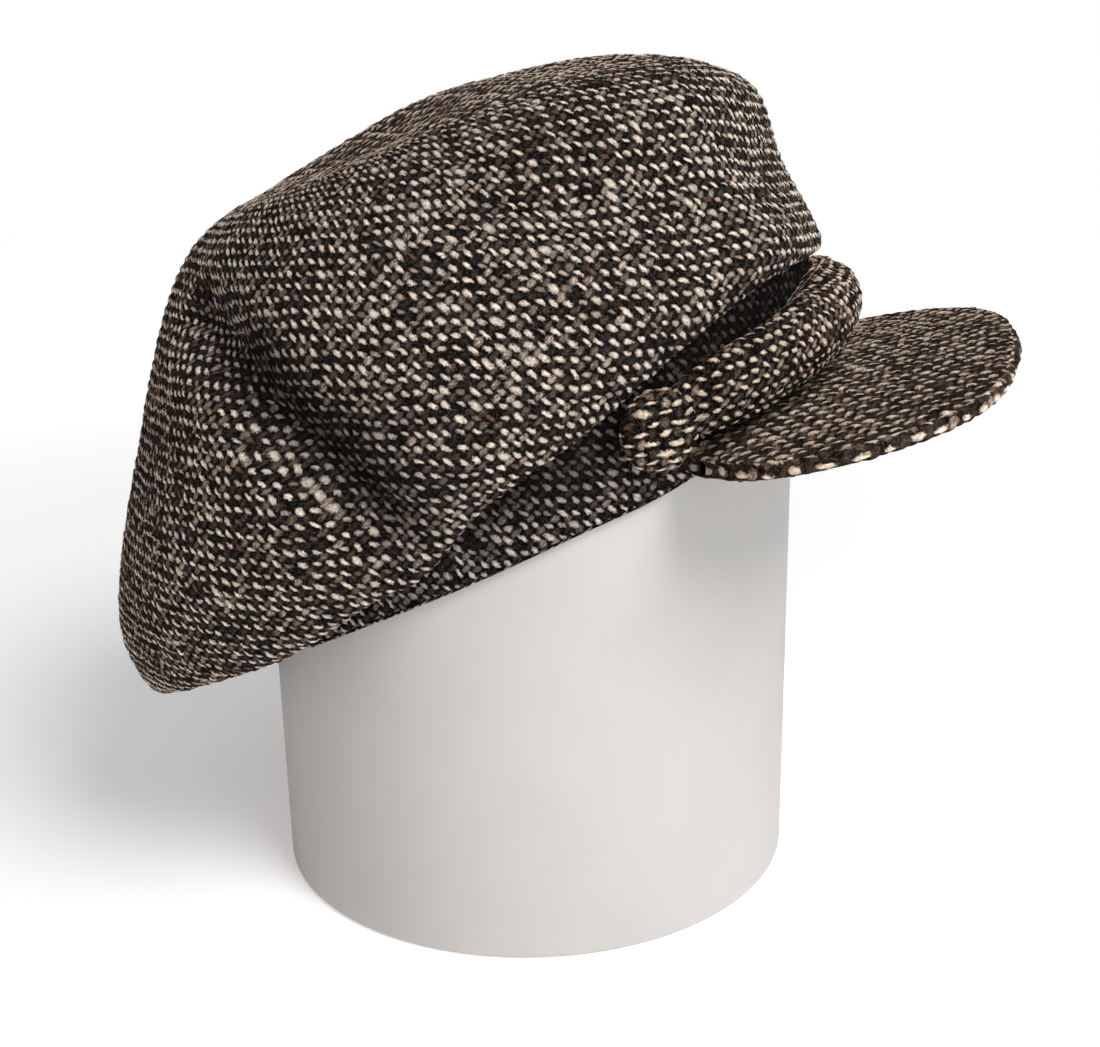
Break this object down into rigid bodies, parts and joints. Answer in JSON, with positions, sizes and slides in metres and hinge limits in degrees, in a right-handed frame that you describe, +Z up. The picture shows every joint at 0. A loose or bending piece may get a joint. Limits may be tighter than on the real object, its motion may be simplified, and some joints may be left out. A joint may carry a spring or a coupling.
{
  "type": "tweed cap on a cylinder stand",
  "caption": "Soft tweed cap with a full crown that droops behind, a headband, a padded front strap with covered buttons and a flat peak, worn on a plain round white stand.",
  "frame": {"origin": "centre of the stand's flat foot, on the surface it stands on", "axes": "+X towards the front of the cap, the way the peak points; +Y towards the wearer's left; +Z up along the stand"},
  "size_m": [0.2965, 0.2376, 0.2604],
  "materials": {
    "stand": "smooth matte white coat over hard foam",
    "tweed_band": "coarse flecked wool tweed, ecru on black",
    "tweed_crown": "coarse flecked wool tweed, ecru on black",
    "tweed_strap": "coarse flecked wool tweed, ecru on black",
    "tweed_peak": "coarse flecked wool tweed over a stiff board",
    "tweed_button": "coarse flecked wool tweed over a button"
  },
  "bodies": {
    "root": {"stand": "stand", "headband": "tweed_band", "crown": "tweed_crown", "front_strap": "tweed_strap", "peak": "tweed_peak", "right_button": "tweed_button", "left_button": "tweed_button"}
  },
  "joints": []
}
